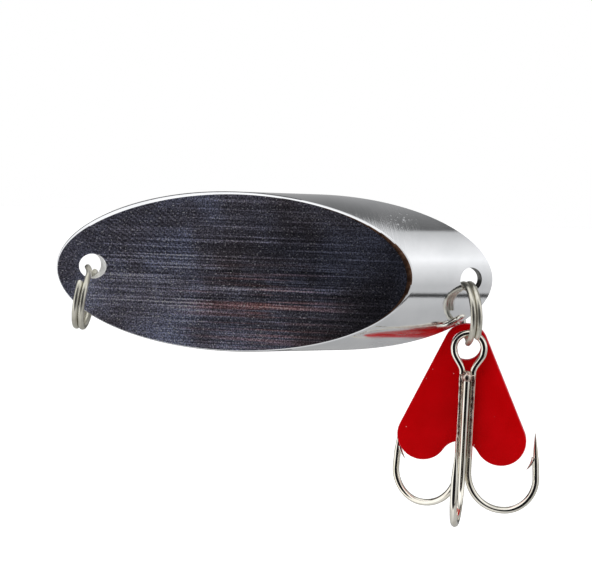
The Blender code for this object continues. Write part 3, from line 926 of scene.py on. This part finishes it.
def fill_sheet(shape):
    outline = tag_outline()
    hole = arc((0, 0), TAG_HOLE, math.pi / 2, -1.5 * math.pi, HOLE_STEPS)[:-1]
    loops = []
    for y in (-TAG_THICKNESS / 2, TAG_THICKNESS / 2):
        outer_loop = [shape.verts.new((x, y, z)) for x, z in outline]
        inner_loop = [shape.verts.new((x, y, z)) for x, z in hole]
        loops.append((outer_loop, inner_loop))
        edges = []
        for loop in (outer_loop, inner_loop):
            edges += [shape.edges.new((loop[k - 1], loop[k])) for k in range(len(loop))]
        bmesh.ops.triangle_fill(shape, use_beauty=True, edges=edges)
    for front, back in zip(*loops):
        for k in range(len(front)):
            shape.faces.new((front[k - 1], front[k], back[k], back[k - 1]))
    bmesh.ops.recalc_face_normals(shape, faces=shape.faces)


def fill_tag(shape):
    fill_sheet(shape)
    rims = [e for e in shape.edges if len(e.link_faces) == 2 and e.calc_face_angle() > SHARP_RIM]
    bmesh.ops.bevel(
        shape, geom=rims, offset=TAG_BEVEL, offset_type="OFFSET", segments=3, profile=0.5,
        affect="EDGES",
    )
    # Side faces take the paler edge finish, a painted highlight.
    for face in shape.faces:
        face.material_index = 0 if abs(face.normal.y) > FLAT_ENOUGH else 1
    place = Matrix.Translation(TAG_PIVOT) @ Matrix.Rotation(TAG_TURN, 4, "Z")
    bmesh.ops.transform(shape, matrix=place, verts=shape.verts)


tag_mesh = mesh_from("tag", fill_tag)
add_piece("tag", tag_mesh, [red_plastic, red_edge_highlight], "tag", "attractor_tag", sharp=40)

# %% [markdown]
# ## Studio bands
# Bright metal looks like what it reflects, so the surround is most of the chrome's finish. It could
# be a photograph of a studio, but the spoon is a bar, so bands that run along the bar are enough.
# Each has an angle round the bar's axis, in degrees up from the front, and a brightness. The tail
# end sees a floor, a thin dark line, a bright wall and a dark ceiling. A second, brighter set
# lights the rim at the nose.

# %% Studio bands
TAIL_BANDS = [
    (-180, 0.08), (-168, 0.10), (-152, 0.42), (-125, 0.42), (-100, 0.45), (-80, 0.48), (-54, 0.50),
    (-37, 0.58), (-32.5, 0.58), (-30.8, 0.05), (-26.4, 0.05), (-25, 0.56), (-14, 0.56), (0, 0.73),
    (14, 0.92), (24, 1.14), (33, 1.0), (47, 0.84), (62, 0.64), (67, 0.58), (71, 0.14), (92, 0.20),
    (112, 0.29), (140, 0.40), (165, 0.36), (175, 0.08), (180, 0.08),
]
NOSE_BANDS = [
    (-180, 0.10), (-165, 0.5), (-110, 0.55), (-40, 0.9), (0, 1.25), (50, 1.2), (90, 1.1),
    (97, 1.05), (101, 0.04), (180, 0.04),
]


def band_stops(bands):
    """Angles as shares of a full turn."""
    return [((angle + 180) / 360, value) for angle, value in bands]


print("surround bands:", len(TAIL_BANDS), "and", len(NOSE_BANDS))

# %% [markdown]
# ## Studio surround
# Every metal here shows the room round it. Large lamps and white cards could stand in for one, but
# the world's nodes give cleaner edges: they turn a direction into an angle round the bar, and the
# angle into a brightness. A dark doorway in front makes the brushed flat look nearly black, and the
# camera itself sees plain white.

# %% Studio surround
DOORWAY, DOORWAY_COLOUR = (-0.122, -0.993, 0), (0.010, 0.010, 0.012, 1)
DOORWAY_FULL, DOORWAY_END = math.cos(math.radians(42)), math.cos(math.radians(50))
WAVER = 0.04
# Shares of a direction along the bar, towards the tail
SLANT_FROM, SLANT_TO, SLANT = 0.465, 0.415, 0.55
SLANT_HEIGHT = (0.1, 0.6)
NOSE_TO_TAIL, PAST_NOSE, NOSE_WALL = (-0.05, 0.2), (-0.68, -0.84), 1.1


def make_surround():
    world = bpy.data.worlds.new("studio")
    bpy.context.scene.world = world
    world.use_nodes = True
    w = Nodes(world.node_tree)
    direction = w.node("ShaderNodeTexCoord").outputs["Generated"]
    angle = w.maths("ARCTAN2", w.along(direction, UP), w.along(direction, ROD_FACING))
    # The ceiling's front edge slants: it starts higher up away from the tail
    towards_tail = w.along(direction, ROD_AXIS)
    slant = w.span(towards_tail, SLANT_FROM, SLANT_TO, 0.0, SLANT)
    slant = w.both(slant, w.span(angle, *SLANT_HEIGHT))
    angle = w.maths("SUBTRACT", angle, slant)
    # Band edges waver a little
    ripple = w.noise(direction, 150.0, detail=3.0)
    angle = w.maths("SUBTRACT", angle, w.span(ripple, 0.3, 0.7, -WAVER, WAVER))
    share = w.span(angle, -math.pi, math.pi)
    at_nose, at_tail = w.ramp(share, band_stops(NOSE_BANDS)), w.ramp(share, band_stops(TAIL_BANDS))
    seen = w.mix(w.span(towards_tail, *NOSE_TO_TAIL), at_nose, at_tail)
    # A bright wall past the nose
    seen = w.mix(w.span(towards_tail, *PAST_NOSE), seen, grey(NOSE_WALL))
    # A dark doorway in front, a little towards the nose
    doorway = w.span(w.along(direction, DOORWAY), DOORWAY_END, DOORWAY_FULL)
    seen = w.mix(doorway, seen, DOORWAY_COLOUR)
    is_camera = w.node("ShaderNodeLightPath").outputs["Is Camera Ray"]
    backdrop = w.mix(is_camera, seen, grey(1))
    w.tree.links.new(backdrop, w.tree.nodes["Background"].inputs["Color"])
    print("surround nodes:", len(w.tree.nodes))


make_surround()

# %% [markdown]
# ## Lights and floor
# Two soft lamps shape the plastic and throw a faint shadow. They could also make the metal's
# highlights, but the bands already give those, so the lamps are kept out of reflections. The floor
# is a plain pale sheet below the hanging lure.

# %% Lights and floor
FLOOR_DROP, FLOOR_REACH, FLOOR_GLOW = 0.03, 2, 0.55


def make_light(name, place, size, power):
    lamp = bpy.data.lights.new(name, "AREA")
    lamp.size, lamp.energy = size, power
    made = bpy.data.objects.new(name, lamp)
    made.location = place
    made.rotation_euler = (-Vector(place)).to_track_quat("-Z", "Y").to_euler()
    made.visible_glossy = False
    bpy.context.scene.collection.objects.link(made)


def make_floor():
    f = Finish("pale_floor", (0.9, 0.9, 0.9), 0.0, 0.8)
    f.set("Emission Color", grey(1))
    f.set("Emission Strength", FLOOR_GLOW)
    height = cad_box[0][2] - FLOOR_DROP

    def build(shape):
        corners = ((-1, -1), (1, -1), (1, 1), (-1, 1))
        places = [(x * FLOOR_REACH, y * FLOOR_REACH, height) for x, y in corners]
        shape.faces.new([shape.verts.new(p) for p in places])

    floor = add_blank("floor", build)
    floor.data.materials.append(f.material)
    floor.visible_glossy = False
    print("floor at", round(height / MM, 1), "mm")


make_light("key", (-0.12, -0.25, 0.22), size=0.16, power=0.35)
make_light("fill", (0.25, -0.12, 0.05), size=0.12, power=0.12)
make_floor()
bpy.context.scene.view_settings.view_transform = "Standard"

# %% [markdown]
# ## Finish
